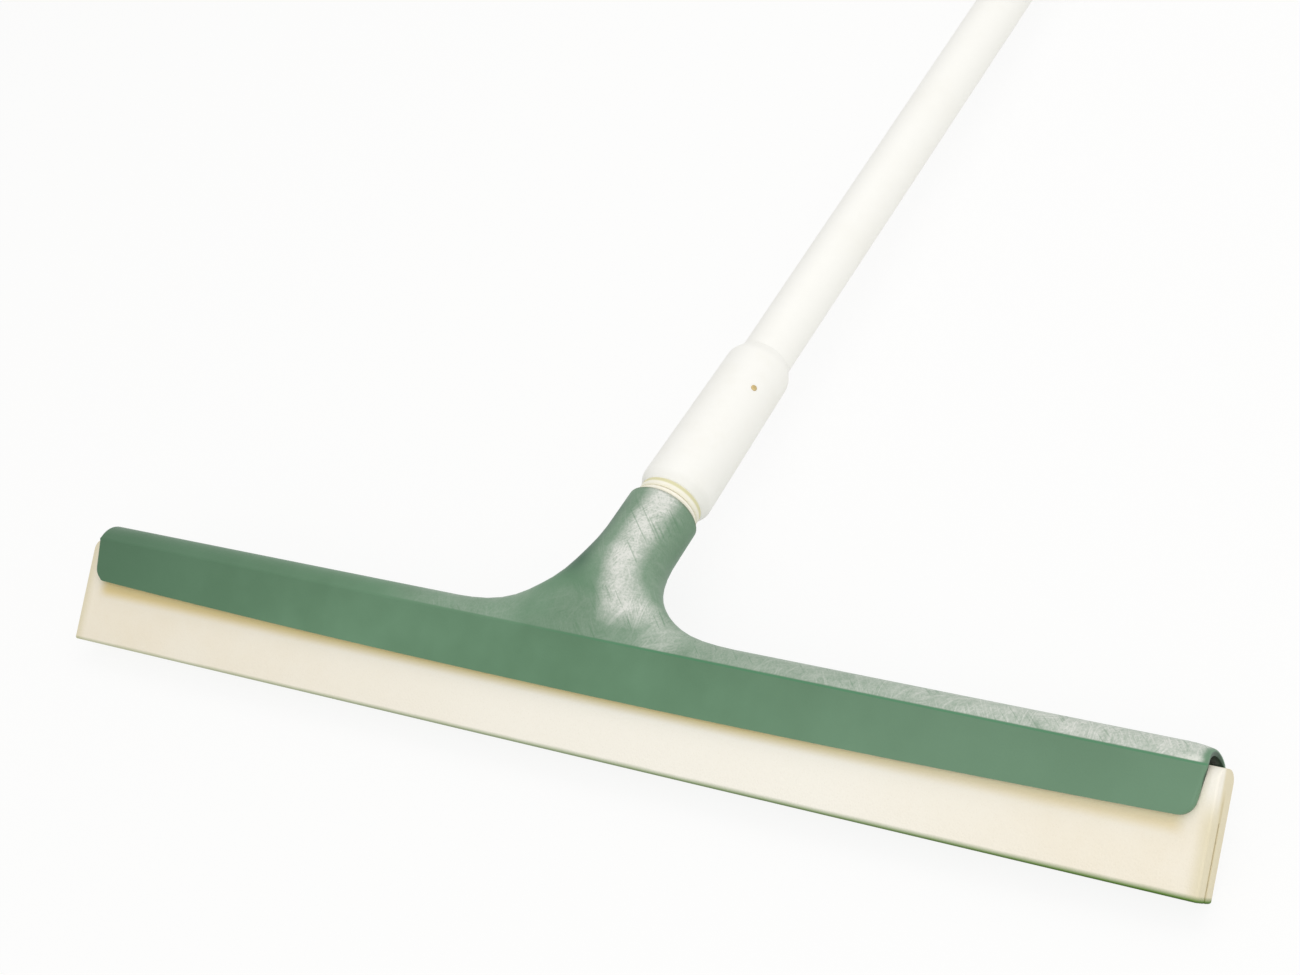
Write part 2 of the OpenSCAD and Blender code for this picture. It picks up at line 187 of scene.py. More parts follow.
def scuffs(tree, spot, turn, length, width):
    """Fine strokes at one angle about the drawing's y axis, more in some places: 0 to 1."""
    # Strokes at other angles take other parts of the noise.
    drawn = add(tree, "ShaderNodeMapping", {
        "Vector": spot, "Location": (31 * turn, 0.0, 17 * turn),
        "Rotation": (0.0, turn, 0.0), "Scale": (width, length, length),
    }, vector_type="TEXTURE").outputs["Vector"]
    strokes = add(tree, "ShaderNodeTexNoise", {
        "Vector": drawn, "Scale": 1.0, "Detail": 2.0, "Roughness": 0.6,
    }).outputs["Fac"]
    moved = add(tree, "ShaderNodeMapping", {
        "Vector": spot, "Location": (90 * turn, 0.0, 0.0),
    }).outputs["Vector"]
    # The places are about 14 mm wide.
    places = add(tree, "ShaderNodeTexNoise", {
        "Vector": moved, "Scale": 1 / 14, "Detail": 1.0,
    }).outputs["Fac"]
    return add(tree, "ShaderNodeMath", {
        0: add(tree, "ShaderNodeMapRange", {
            "Value": strokes, "From Min": 0.47, "From Max": 0.7,
        }).outputs[0],
        1: add(tree, "ShaderNodeMapRange", {
            "Value": places, "From Min": 0.4, "From Max": 0.6,
        }).outputs[0],
    }, operation="MULTIPLY").outputs[0]


def moulded_polypropylene():
    # Polypropylene, injection moulded and coloured through: a satin green with a fine tool grain.
    # Years of rubbing leave pale hair scratches and a chalky bloom on the socket and the crown,
    # with a pale sheen painted over them. A highlight is painted along the crease as a clearer
    # green, and shade is painted at the left end, on the socket's left flank, at its rim and inside
    # the crown.
    material, tree = start("moulded_polypropylene")
    upright, axial = millimetres(tree, LAID), millimetres(tree, HANDLE)
    up = add(tree, "ShaderNodeSeparateXYZ", {"Vector": upright}).outputs
    at = add(tree, "ShaderNodeSeparateXYZ", {"Vector": axial}).outputs
    from_middle = add(tree, "ShaderNodeMath", {0: up["X"]}, operation="ABSOLUTE").outputs[0]
    # Angle about the handle's axis: 0 in front, and more towards the right.
    to_front = add(tree, "ShaderNodeMath", {0: at["Y"], 1: -1.0}, operation="MULTIPLY").outputs[0]
    around = add(tree, "ShaderNodeMath", {
        0: at["X"], 1: to_front,
    }, operation="ARCTAN2").outputs[0]
    off_crease = add(tree, "ShaderNodeMath", {
        0: up["Z"], 1: CREASE_Z - 0.1,
    }, operation="SUBTRACT").outputs[0]
    off_crease = add(tree, "ShaderNodeMath", {0: off_crease}, operation="ABSOLUTE").outputs[0]
    across_crown = add(tree, "ShaderNodeMapping", {
        "Vector": upright, "Location": (0.0, 0.0, -CROWN_MID), "Scale": (0.0, 1.0, 1.0),
    }).outputs["Vector"]
    arch_r = add(tree, "ShaderNodeVectorMath", {
        0: across_crown,
    }, operation="LENGTH").outputs["Value"]
    # Flow of the melt: clouds about 45 mm wide.
    flow = add(tree, "ShaderNodeTexNoise", {
        "Vector": upright, "Scale": 1 / 45, "Detail": 3.0, "Roughness": 0.6,
    }).outputs["Fac"]
    # Tool grain: 0.4 mm in the tool, drawn at 1 mm so that it shows.
    grain = add(tree, "ShaderNodeTexNoise", {
        "Vector": upright, "Scale": 1.0, "Detail": 2.0, "Roughness": 0.55,
    }).outputs["Fac"]
    # A few deeper scratches are up to 40 mm long.
    deep = scuffs(tree, axial, -0.8, 40, 1.3)
    # Where each mark lies: a measure, the stretch over which the mark changes, and how strong it is
    # at the start and at the end of that stretch.
    where = {}
    for name, measure, first, last, at_first, at_last, change in (
        # Colour of the moulding, with painted shade at the left end, and lighter towards the right.
        ("clouds", flow, 0.35, 0.65, 0, 1, EVENLY),
        ("shaded_left_end", up["X"], -130, -CHAN_END, 0, 0.75, SOFTLY),
        ("lighter_right", up["X"], 20, 200, 0, 0.5, SOFTLY),
        # The pale band down the socket: a painted sheen over chalky bloom.
        ("near_foot", at["Z"], 27, 0, 0, 1, EVENLY),
        ("on_flare", from_middle, 40, 85, 1, 0, SOFTLY),
        ("risen", up["Z"], CREASE_Z + 1.5, CREASE_Z + 19, 0, 1, SOFTLY),
        ("beside", up["X"], 22, 42, 0, 0.6, SOFTLY),
        ("low_down", at["Z"], 20, 4, 0, 1, EVENLY),
        ("to_left", up["X"], 20, -8, 0, 1, SOFTLY),
        # The crown's painted sheen over rubbing.
        ("over_crease", up["Z"], CREASE_Z + 0.1, CREASE_Z + 0.9, 0, 1, SOFTLY),
        ("right_half", up["X"], -60, 260, 0, 0.75, EVENLY),
        ("short_of_end", from_middle, CHAN_END - 5, CHAN_END - 1.5, 1, 0, SOFTLY),
        ("under_socket", at["Z"], 14, 2, 0, 1, SOFTLY),
        ("left_patch", up["X"], -120, -75, 0, 0.18, SOFTLY),
        ("left_of_neck", up["X"], -15, -45, 0, 1, SOFTLY),
        # The tool grain's tops take the rubbing and the painted sheen first, and the deep scratches
        # cut through to the green.
        ("tops", grain, 0.35, 0.65, 0.1, 0.4, EVENLY),
        ("uncut", deep, 0.4, 0.8, 1, 0.55, EVENLY),
        # A highlight painted along the crease's rounding: a clearer green line 0.9 mm wide.
        ("crease", off_crease, 0.25, 0.65, 0.6, 0, EVENLY),
        ("past_neck", up["X"], -60, 60, 0, 1, SOFTLY),
        # A glint painted on the front corner of the crown's right end.
        ("corner", up["X"], CHAN_END - 15, CHAN_END - 5, 0, 1.8, EVENLY),
        ("before_end", from_middle, CHAN_END - 4, CHAN_END - 1, 1, 0, EVENLY),
        ("near_crease", up["Z"], CREASE_Z + 3.5, CREASE_Z + 1, 0, 1, SOFTLY),
        # Painted shade on the socket's left flank.
        ("shaded_flank", around, -0.2, -0.85, 0, 0.75, SOFTLY),
        ("above_flare", at["Z"], 10, 24, 0, 1, SOFTLY),
        ("below_rim", at["Z"], SOCKET_LEN - 0.5, SOCKET_LEN - 14.5, 0, 1, SOFTLY),
        ("off_underside", around, -2.8, -1.5, 0, 1, SOFTLY),
        # Painted shade.
        ("rim_shadow_line", at["Z"], SOCKET_LEN - 1.9, SOCKET_LEN - 1, 0, 0.45, EVENLY),
        ("inside", arch_r, 10, 10.8, 0.75, 0, EVENLY),
    ):
        where[name] = add(tree, "ShaderNodeMapRange", {
            "Value": measure, "From Min": first, "From Max": last,
            "To Min": at_first, "To Max": at_last,
        }, interpolation_type=change).outputs[0]
    # The band swings round to the right at its foot and widens there.
    swing = add(tree, "ShaderNodeMath", {
        0: where["near_foot"], 1: 1.5,
    }, operation="POWER").outputs[0]
    middle = add(tree, "ShaderNodeMath", {
        0: swing, 1: 0.62, 2: 0.46,
    }, operation="MULTIPLY_ADD").outputs[0]
    reach = add(tree, "ShaderNodeMath", {
        0: swing, 1: 0.28, 2: 0.78,
    }, operation="MULTIPLY_ADD").outputs[0]
    off_band = add(tree, "ShaderNodeMath", {0: around, 1: middle}, operation="SUBTRACT").outputs[0]
    off_band = add(tree, "ShaderNodeMath", {0: off_band}, operation="ABSOLUTE").outputs[0]
    band = add(tree, "ShaderNodeMapRange", {
        "Value": off_band, "From Min": 0.05, "From Max": reach, "To Min": 1.0, "To Max": 0.0,
    }, interpolation_type=SOFTLY).outputs[0]
    faint = add(tree, "ShaderNodeMapRange", {
        "Value": off_band, "From Min": 0.3, "From Max": 1.6, "To Min": 0.24, "To Max": 0.0,
    }).outputs[0]
    # Low on the flare it is fainter, most of all in front of the socket, and its left side fades.
    risen = add(tree, "ShaderNodeMath", {
        0: where["risen"], 1: where["beside"],
    }, operation="MAXIMUM").outputs[0]
    fading = add(tree, "ShaderNodeMath", {
        0: where["low_down"], 1: where["to_left"],
    }, operation="MULTIPLY").outputs[0]
    kept = add(tree, "ShaderNodeMath", {0: 1.0, 1: fading}, operation="SUBTRACT").outputs[0]
    for step, part in (
        ("MAXIMUM", faint), ("MULTIPLY", where["on_flare"]),
        ("MULTIPLY", risen), ("MULTIPLY", kept),
    ):
        band = add(tree, "ShaderNodeMath", {0: band, 1: part}, operation=step).outputs[0]
    # The crown's painted sheen and rubbing are stronger towards the right, and faint where the
    # flare runs out to the left.
    left_patch = add(tree, "ShaderNodeMath", {
        0: where["left_patch"], 1: where["left_of_neck"],
    }, operation="MULTIPLY").outputs[0]
    rubbed_and_sheen = where["right_half"]
    for step, part in (
        ("MULTIPLY", where["short_of_end"]), ("MAXIMUM", left_patch),
        ("MULTIPLY", where["under_socket"]), ("MAXIMUM", band),
        ("MULTIPLY", where["over_crease"]),
    ):
        rubbed_and_sheen = add(tree, "ShaderNodeMath", {0: rubbed_and_sheen, 1: part}, operation=step).outputs[0]
    # Scuffs, 0.1 mm wide, drawn at 0.6 to 1.5 mm so that they show.
    scuffed = scuffs(tree, axial, 0.45, 16, 1.2)
    for turn, length, width in ((-0.62, 14, 0.6), (1.2, 16, 1.5), (-0.12, 26, 0.6)):
        scuffed = add(tree, "ShaderNodeMath", {
            0: scuffed, 1: scuffs(tree, axial, turn, length, width),
        }, operation="MAXIMUM").outputs[0]
    # Bloom and painted sheen lie in patches about 7 mm wide.
    bloom_and_sheen = add(tree, "ShaderNodeTexNoise", {
        "Vector": axial, "Scale": 1 / 7, "Detail": 6.0, "Roughness": 0.66,
    }).outputs["Fac"]
    pale = add(tree, "ShaderNodeMath", {
        0: scuffed, 1: 0.42, 2: bloom_and_sheen,
    }, operation="MULTIPLY_ADD").outputs[0]
    for step, part in (("ADD", where["tops"]), ("MULTIPLY", where["uncut"]), ("MULTIPLY", rubbed_and_sheen)):
        pale = add(tree, "ShaderNodeMath", {0: pale, 1: part}, operation=step).outputs[0]
    # Colours, each laid over the last; what follows a colour is multiplied to give its share.
    colour = linear("#608468")
    for tint, share, *factors in (
        ("#698e72", where["clouds"]),
        # Painted shade darkens the left end, and the green is lighter towards the right.
        ("#4d7056", where["shaded_left_end"]),
        ("#74937c", where["lighter_right"]),
        # Pale scuffs and bloom, with a painted sheen.
        ("#dee0dc", pale),
        # The painted highlight along the crease, mostly right of the neck.
        ("#488761", where["crease"], where["past_neck"]),
        # A pale glint is painted on the corner.
        ("#dfe3dc", where["corner"], where["before_end"], where["near_crease"],
         where["over_crease"], grain),
        # Painted shade darkens the socket's left flank.
        ("#2f5742", where["shaded_flank"], where["above_flare"], where["below_rim"],
         where["off_underside"]),
        # A painted shadow line follows the socket's rim, and painted shade darkens the inside under
        # the crown.
        ("#6e7259", where["rim_shadow_line"]),
        ("#26352b", where["inside"]),
    ):
        for factor in factors:
            share = add(tree, "ShaderNodeMath", {
                0: share, 1: factor,
            }, operation="MULTIPLY").outputs[0]
        colour = add(tree, "ShaderNodeMix", {
            0: share, 6: colour, 7: linear(tint),
        }, data_type="RGBA").outputs[2]
    height = add(tree, "ShaderNodeMath", {
        0: pale, 1: 0.5, 2: grain,
    }, operation="MULTIPLY_ADD").outputs[0]
    rough = add(tree, "ShaderNodeMapRange", {
        "Value": height, "From Min": 0.3, "From Max": 1.2, "To Min": 0.36, "To Max": 0.5,
    }).outputs[0]
    relief = add(tree, "ShaderNodeBump", {
        "Strength": 0.3, "Distance": 0.0002, "Height": height,
    }).outputs["Normal"]
    shader = add(tree, "ShaderNodeBsdfPrincipled", {
        "Base Color": colour, "Roughness": rough, "Normal": relief, "IOR": 1.49,
        "Specular IOR Level": 0.15,
    })
    add(tree, "ShaderNodeOutputMaterial", {"Surface": shader.outputs[0]})
    return material


def cellular_rubber():
    # Cellular (sponge) rubber, cut from a cured sheet: dull cream with fine cells, tanned where
    # the knife left its cut ends open, and olive along the tip. Shade is painted under the
    # channel's edge and in the slit, and a highlight on the right end's front edge.
    material, tree = start("cellular_rubber")
    upright = millimetres(tree, LAID)
    up = add(tree, "ShaderNodeSeparateXYZ", {"Vector": upright}).outputs
    from_middle = add(tree, "ShaderNodeMath", {0: up["X"]}, operation="ABSOLUTE").outputs[0]
    off_slit = add(tree, "ShaderNodeMath", {0: up["Y"]}, operation="ABSOLUTE").outputs[0]
    # Cells are about 0.3 mm, drawn at 1.1 mm so that they show.
    cells = add(tree, "ShaderNodeTexVoronoi", {
        "Vector": upright, "Scale": 1 / 1.1, "Randomness": 1.0,
    }).outputs["Distance"]
    # Mottle from the curing, about 28 mm wide.
    mottle = add(tree, "ShaderNodeTexNoise", {
        "Vector": upright, "Scale": 1 / 28, "Detail": 5.0, "Roughness": 0.65,
    }).outputs["Fac"]
    # Where each mark lies: a measure, the stretch over which the mark changes, and how strong it is
    # at the start and at the end of that stretch.
    where = {}
    for name, measure, first, last, at_first, at_last, change in (
        # A darker, warmer cream, more to the left and towards both ends.
        ("warmer_cream", up["X"], 60, -BLADE_END, 0.05, 0.5, SOFTLY),
        ("warmer_ends", from_middle, 90, BLADE_END, 0, 0.45, SOFTLY),
        ("uneven", mottle, 0.3, 0.7, 0.8, 1.15, EVENLY),
        ("pits", cells, 0, 0.35, 0.1, 0, EVENLY),
        # The last 7 mm before the cut ends.
        ("cut_end", from_middle, BLADE_END - 7, BLADE_END - 0.1, 0, 0.5, SOFTLY),
        # A painted highlight on the right end's front edge, high up.
        ("right_end", up["X"], BLADE_END - 7, BLADE_END - 3, 0, 0.85, EVENLY),
        ("front", up["Y"], -1.5, -5, 0, 1, SOFTLY),
        ("high", up["Z"], 29, 44, 0, 1, SOFTLY),
        # Painted shadow under the channel's lower edge, down to one height, more to the left.
        ("under_edge", up["Z"], 22, 27.5, 0, 1, SOFTLY),
        ("less_right", up["X"], 90, 190, 0.85, 0.5, EVENLY),
        ("covered", from_middle, CHAN_END - 11, CHAN_END - 3, 1, 0, SOFTLY),
        ("less_within", up["Z"], 31.5, 38, 1, 0.25, SOFTLY),
        # Painted shade in the slit and beside its mouth.
        ("in_slit", off_slit, LEAF_SLIT / 2, 1.8, 0.6, 0, EVENLY),
        ("below_strip", up["Z"], 38, 44, 1, 0, EVENLY),
        # Along the tip, from the left end to the right, and its lowest part.
        ("along_tip", up["X"], -BLADE_END, BLADE_END, 0, 1, EVENLY),
        ("lowest", up["Z"], 0.3, 0.8, 0.6, 0, EVENLY),
    ):
        where[name] = add(tree, "ShaderNodeMapRange", {
            "Value": measure, "From Min": first, "From Max": last,
            "To Min": at_first, "To Max": at_last,
        }, interpolation_type=change).outputs[0]
    warmer_cream = add(tree, "ShaderNodeMath", {
        0: where["warmer_cream"], 1: where["warmer_ends"],
    }, operation="MAXIMUM").outputs[0]
    # The olive at the tip fades out about 1.8 mm up at the left end, where it is faint, and
    # 2.8 mm up at the right end, where it is dark.
    depth = add(tree, "ShaderNodeMath", {
        0: where["along_tip"], 1: mottle,
    }, operation="ADD").outputs[0]
    depth = add(tree, "ShaderNodeMath", {0: depth, 1: 1.25}, operation="ADD").outputs[0]
    tip_olive = add(tree, "ShaderNodeMapRange", {
        "Value": up["Z"], "From Min": 0.6, "From Max": depth, "To Min": 1.0, "To Max": 0.0,
    }).outputs[0]
    darkness = add(tree, "ShaderNodeMath", {
        0: where["along_tip"], 1: 0.62, 2: 0.4,
    }, operation="MULTIPLY_ADD").outputs[0]
    # Colours, each laid over the last; what follows a colour is multiplied to give its share.
    colour = linear("#f8f5ed")
    for tint, share, *factors in (
        ("#eadcc0", warmer_cream, where["uneven"]),
        ("#cfc19a", where["pits"]),
        ("#d4c99f", where["cut_end"]),
        # A painted highlight.
        ("#faf7f0", where["right_end"], where["front"], where["high"]),
        # Painted shadow under the channel's edge, and painted shade in the slit.
        ("#e6cf90", where["under_edge"], where["less_right"], where["covered"],
         where["less_within"]),
        ("#c9ba8e", where["in_slit"], where["below_strip"]),
        # Olive along the tip, nearly black in the lowest half millimetre towards the right end.
        ("#4f7a0c", tip_olive, darkness),
        ("#2f3d1c", where["lowest"], where["along_tip"]),
    ):
        for factor in factors:
            share = add(tree, "ShaderNodeMath", {
                0: share, 1: factor,
            }, operation="MULTIPLY").outputs[0]
        colour = add(tree, "ShaderNodeMix", {
            0: share, 6: colour, 7: linear(tint),
        }, data_type="RGBA").outputs[2]
    relief = add(tree, "ShaderNodeBump", {
        "Strength": 0.4, "Distance": 0.0002, "Height": cells,
    }).outputs["Normal"]
    rough = add(tree, "ShaderNodeMapRange", {
        "Value": mottle, "From Min": 0.3, "From Max": 0.7, "To Min": 0.72, "To Max": 0.86,
    }).outputs[0]
    shader = add(tree, "ShaderNodeBsdfPrincipled", {
        "Base Color": colour, "Roughness": rough, "Normal": relief, "IOR": 1.52,
    })
    add(tree, "ShaderNodeOutputMaterial", {"Surface": shader.outputs[0]})
    return material


def handle_plastic(name, clean, soiled, roughness, mark_mm, lines_mm, joints_mm=()):
    # Thermoplastics of the handle: a clean colour with faint handling marks of mark_mm, and fine
    # drawn or moulded lines along the axis, lines_mm apart, that break up the gloss. Shade is
    # painted at the joints, each given in joints_mm by its height and how much shade there is.
    material, tree = start(name)
    axial = millimetres(tree, HANDLE)
    handled = add(tree, "ShaderNodeTexNoise", {
        "Vector": axial, "Scale": 1 / mark_mm, "Detail": 5.0, "Roughness": 0.6,
    }).outputs["Fac"]
    colour = add(tree, "ShaderNodeMix", {
        0: add(tree, "ShaderNodeMapRange", {
            "Value": handled, "From Min": 0.45, "From Max": 0.75, "To Max": 0.5,
        }).outputs[0],
        6: linear(clean), 7: linear(soiled),
    }, data_type="RGBA").outputs[2]
    height = add(tree, "ShaderNodeSeparateXYZ", {"Vector": axial}).outputs["Z"]
    for joint, amount in joints_mm:
        away = add(tree, "ShaderNodeMath", {
            0: height, 1: float(joint),
        }, operation="SUBTRACT").outputs[0]
        away = add(tree, "ShaderNodeMath", {0: away}, operation="ABSOLUTE").outputs[0]
        # Painted shade, fading out from 0.5 to 1.3 mm away from the joint.
        joint_shade = add(tree, "ShaderNodeMapRange", {
            "Value": away, "From Min": 0.5, "From Max": 1.3, "To Min": amount, "To Max": 0.0,
        }).outputs[0]
        colour = add(tree, "ShaderNodeMix", {
            0: joint_shade, 6: colour, 7: linear("#dcd8ae"),
        }, data_type="RGBA").outputs[2]
    # The lines are drawn coarser than real ones so that they show, each 60 times as long as wide.
    drawn = add(tree, "ShaderNodeMapping", {
        "Vector": axial, "Scale": (1 / lines_mm, 1 / lines_mm, 1 / (60 * lines_mm)),
    }).outputs["Vector"]
    lines = add(tree, "ShaderNodeTexNoise", {
        "Vector": drawn, "Scale": 1.0, "Detail": 2.0,
    }).outputs["Fac"]
    rough = add(tree, "ShaderNodeMapRange", {
        "Value": handled, "From Min": 0.3, "From Max": 0.7,
        "To Min": roughness - 0.05, "To Max": roughness + 0.1,
    }).outputs[0]
    relief = add(tree, "ShaderNodeBump", {
        "Strength": 0.12, "Distance": 0.0001, "Height": lines,
    }).outputs["Normal"]
    shader = add(tree, "ShaderNodeBsdfPrincipled", {
        "Base Color": colour, "Roughness": rough, "Normal": relief, "IOR": 1.5,
    })
    add(tree, "ShaderNodeOutputMaterial", {"Surface": shader.outputs[0]})
    return material


def drawn_metal(name, bright, dull, roughness, lines_mm, place):
    # Metal drawn through a die: fine lines along the draw, with a duller film between them.
    material, tree = start(name)
    spot = millimetres(tree, place)
    # The lines are drawn coarser than real ones so that they show, each 80 times as long as wide.
    drawn = add(tree, "ShaderNodeMapping", {
        "Vector": spot, "Scale": (1 / lines_mm, 1 / lines_mm, 1 / (80 * lines_mm)),
    }).outputs["Vector"]
    lines = add(tree, "ShaderNodeTexNoise", {
        "Vector": drawn, "Scale": 1.0, "Detail": 3.0,
    }).outputs["Fac"]
    colour = add(tree, "ShaderNodeMix", {
        0: lines, 6: linear(bright), 7: linear(dull),
    }, data_type="RGBA").outputs[2]
    rough = add(tree, "ShaderNodeMapRange", {
        "Value": lines, "From Min": 0.3, "From Max": 0.7,
        "To Min": roughness - 0.08, "To Max": roughness + 0.08,
    }).outputs[0]
    shader = add(tree, "ShaderNodeBsdfPrincipled", {
        "Base Color": colour, "Roughness": rough, "Metallic": 1.0,
    })
    add(tree, "ShaderNodeOutputMaterial", {"Surface": shader.outputs[0]})
    return material


def flare_point(s, a):
    """A point of the flare at length s along the handle's axis and angle a about it."""
    leant, swollen = min(1, s / LEAN_LEN), min(1, s / SWELL_LEN)
    inner = FLARE_R - min(FLARE_R, s)
    drafted = SOCKET_R + (SOCKET_LEN - s) * math.tan(SOCKET_DRAFT)
    drafted -= max(0, s + RIM_EDGE - SOCKET_LEN)
    half_x = drafted + FLARE_R - math.sqrt(FLARE_R**2 - inner**2)
    foot = CHAN_OUT - FLARE_SET
    q = (foot + (drafted - foot) * swollen) * math.sin(a)
    tilt = (math.pi / 2 - HANDLE_ANGLE) * leant
    y = s * math.cos(HANDLE_ANGLE) + q * math.cos(tilt)
    rise = CROWN_Z - FLARE_SET * (1 - leant) + s * math.sin(HANDLE_ANGLE)
    return half_x * math.cos(a), y, rise - q * math.sin(tilt)


def foot_point(a):
    """A point of the flare's foot, an oval drawn on the crown."""
    y = FOOT_Y * math.sin(a)
    return FOOT_X * math.cos(a), y, CROWN_MID + math.sqrt(CROWN_R**2 - y * y)


def arch(bm, x, radius):
    """Spins the crown's arch across the head at x; gives its first and last corner."""
    first = bm.verts.new((
        x, -radius * math.sin(CROWN_SPRING), CROWN_MID + radius * math.cos(CROWN_SPRING),
    ))
    last = bmesh.ops.spin(
        bm, geom=[first], cent=(x, 0, CROWN_MID), axis=(-1, 0, 0), dvec=(0, 0, 0),
        angle=2 * CROWN_SPRING, steps=ARCH_STEPS,
    )["geom_last"][0]
    return first, last


def head_moulding(material):
    bm = bmesh.new()
    # End outline: wall, a slight bead at the crease, the crown's arch, bead and wall.
    wall_side = [(CHAN_OUT, LOW_Z)]
    wall_side += [(CHAN_OUT + out, CREASE_Z + rise) for out, rise in CREASE_BEAD]
    sides = [
        [bm.verts.new((-CHAN_END, side * y, z)) for y, z in wall_side] for side in (-1, 1)
    ]
    springs = arch(bm, -CHAN_END, CROWN_R)
    spring_y, spring_z = -springs[0].co.y, springs[0].co.z
    for wall, top in zip(sides, springs):
        for a, b in zip(wall, wall[1:] + [top]):
            bm.edges.new((a, b))
    # The outline runs along the blade, closer in the middle, where the flare stands.
    outer = [-CHAN_END + (CHAN_END - OPENING_X) * i / OUTER_STEPS for i in range(OUTER_STEPS)]
    middle = [OPENING_X * (i / NECK_STEPS - 1) for i in range(2 * NECK_STEPS + 1)]
    stations = outer + middle + [-x for x in reversed(outer)]
    row = bm.edges[:]
    for near, far in zip(stations, stations[1:]):
        made = bmesh.ops.extrude_edge_only(bm, edges=row)["geom"]
        row = only(made, bmesh.types.BMEdge)
        bmesh.ops.translate(bm, verts=only(made, bmesh.types.BMVert), vec=(far - near, 0, 0))
    # Arched lower edge, ends that lean in, rounded lower corners.
    for v in [v for v in bm.verts if v.co.z < LOW_Z + HAIR]:
        share = v.co.x / CHAN_END
        v.co.z += (END_Z - LOW_Z) * share**2
        if abs(share) > 0.999:
            v.co.x -= math.copysign(END_LEAN, share)
    lower = [v for v in bm.verts if v.co.z < BEAD_Z and len(v.link_edges) == 2]
    round_corners(bm, lower, CORNER_R, 8)
    # The crown's right end is worn down and back, most at the top.
    wall_top, crown_foot = CREASE_Z - 1.3, CREASE_Z + 1.5
    for reach in WORN_STEPS:
        crown = [
            f for f in bm.faces
            if all(v.co.x > OPENING_X and v.co.z > wall_top for v in f.verts)
        ]
        strip = dict.fromkeys(g for f in crown for g in (f, *f.edges, *f.verts))
        bmesh.ops.bisect_plane(
            bm, geom=list(strip), dist=TOUCH, plane_co=(CHAN_END - reach, 0, 0),
            plane_no=(1, 0, 0),
        )
    for v in bm.verts:
        near = max(0, v.co.x - CHAN_END + WORN_LEN) / WORN_LEN
        if near and v.co.z > wall_top:
            high = max(0, v.co.z - crown_foot) / (CROWN_Z - crown_foot)
            v.co.z -= WORN_DOWN * near**2 * (WORN_LOW_SHARE + (1 - WORN_LOW_SHARE) * high)
            v.co.x -= WORN_BACK * near**2 * high
    # The crown is opened under the flare, and the flare grows from the opening's edge.
    under = {
        f for f in bm.faces
        if all(v.co.z > spring_z - HAIR and abs(v.co.x) < OPENING_X + HAIR for v in f.verts)
    }
    ring = [e for e in bm.edges if len(under.intersection(e.link_faces)) == 1]
    bmesh.ops.delete(bm, geom=list(under), context="FACES")
    angles = {
        v: math.atan2(v.co.y / spring_y, v.co.x / OPENING_X) for e in ring for v in e.verts
    }
    blended = []
    for s in (None, *FLARE_STEPS, SOCKET_LEN - RIM_EDGE, SOCKET_LEN):
        made = bmesh.ops.extrude_edge_only(bm, edges=ring)["geom"]
        ring = only(made, bmesh.types.BMEdge)
        grown = {
            v: next(angles[e.other_vert(v)] for e in v.link_edges if e.other_vert(v) in angles)
            for v in only(made, bmesh.types.BMVert)
        }
        for v, a in grown.items():
            v.co = foot_point(a) if s is None else flare_point(s, a)
        angles.update(grown)
        if s is None or s < BLEND_LEN:
            blended += grown
    for _ in range(BLEND_ROUNDS):
        bmesh.ops.smooth_vert(
            bm, verts=blended, factor=0.5, use_axis_x=True, use_axis_y=True, use_axis_z=True,
        )
    # The faces point outwards before the wall gets its thickness inwards.
    bmesh.ops.recalc_face_normals(bm, faces=bm.faces)
    top = max(bm.faces, key=lambda f: f.calc_center_median().z)
    in_socket = AXIS @ Vector((0, 0, SOCKET_LEN / 2))
    if top.normal.dot(top.calc_center_median() - in_socket) < 0:
        bmesh.ops.reverse_faces(bm, faces=bm.faces)
    drawn = set(bm.verts)
    bmesh.ops.solidify(bm, geom=bm.faces[:], thickness=WALL)
    # The socket is bored to one radius, up to a flat rim.
    to_axis, inside_r = AXIS.inverted(), SOCKET_R - SOCKET_SKIN
    local = {v: to_axis @ v.co for v in bm.verts}
    rim = {v for v in bm.verts if local[v].z > SOCKET_LEN - HAIR}
    mouth = {
        e.other_vert(v) for v in rim for e in v.link_edges
        if local[e.other_vert(v)].xy.length < inside_r
    } - rim
    for v, spot in local.items():
        if spot.z > BORED_FROM and spot.xy.length < inside_r and v not in rim:
            bored = spot.xy.normalized() * BORE_R
            v.co = AXIS @ Vector((bored.x, bored.y, SOCKET_LEN if v in mouth else spot.z))
    # The ends are rounded outside, which takes in what lies up to 2 mm past the rounded corners.
    bm.normal_update()
    by_end = CHAN_END - END_LEAN - CORNER_R - 2
    outside = {v for v in drawn if abs(v.co.x) > by_end}
    ends = [
        e for e in bm.edges
        if outside.issuperset(e.verts) and any(abs(f.normal.x) > 0.4 for f in e.link_faces)
    ]
    bmesh.ops.bevel(
        bm, geom=ends, offset=END_EDGE, offset_type="OFFSET", affect="EDGES",
        segments=4, profile=0.5, material=-1,
    )
    # The crown's inner face runs on under the socket.
    known = set(bm.edges)
    arch(bm, -OPENING_X - WALL, CROWN_R - WALL)
    made = bmesh.ops.extrude_edge_only(bm, edges=[e for e in bm.edges if e not in known])["geom"]
    bmesh.ops.translate(
        bm, verts=only(made, bmesh.types.BMVert), vec=(2 * (OPENING_X + WALL), 0, 0),
    )
    panel = only(made, bmesh.types.BMFace)
    bmesh.ops.recalc_face_normals(bm, faces=panel)
    if sum(f.normal.z for f in panel) > 0:
        bmesh.ops.reverse_faces(bm, faces=panel)
    bmesh.ops.solidify(bm, geom=panel, thickness=WALL / 2)
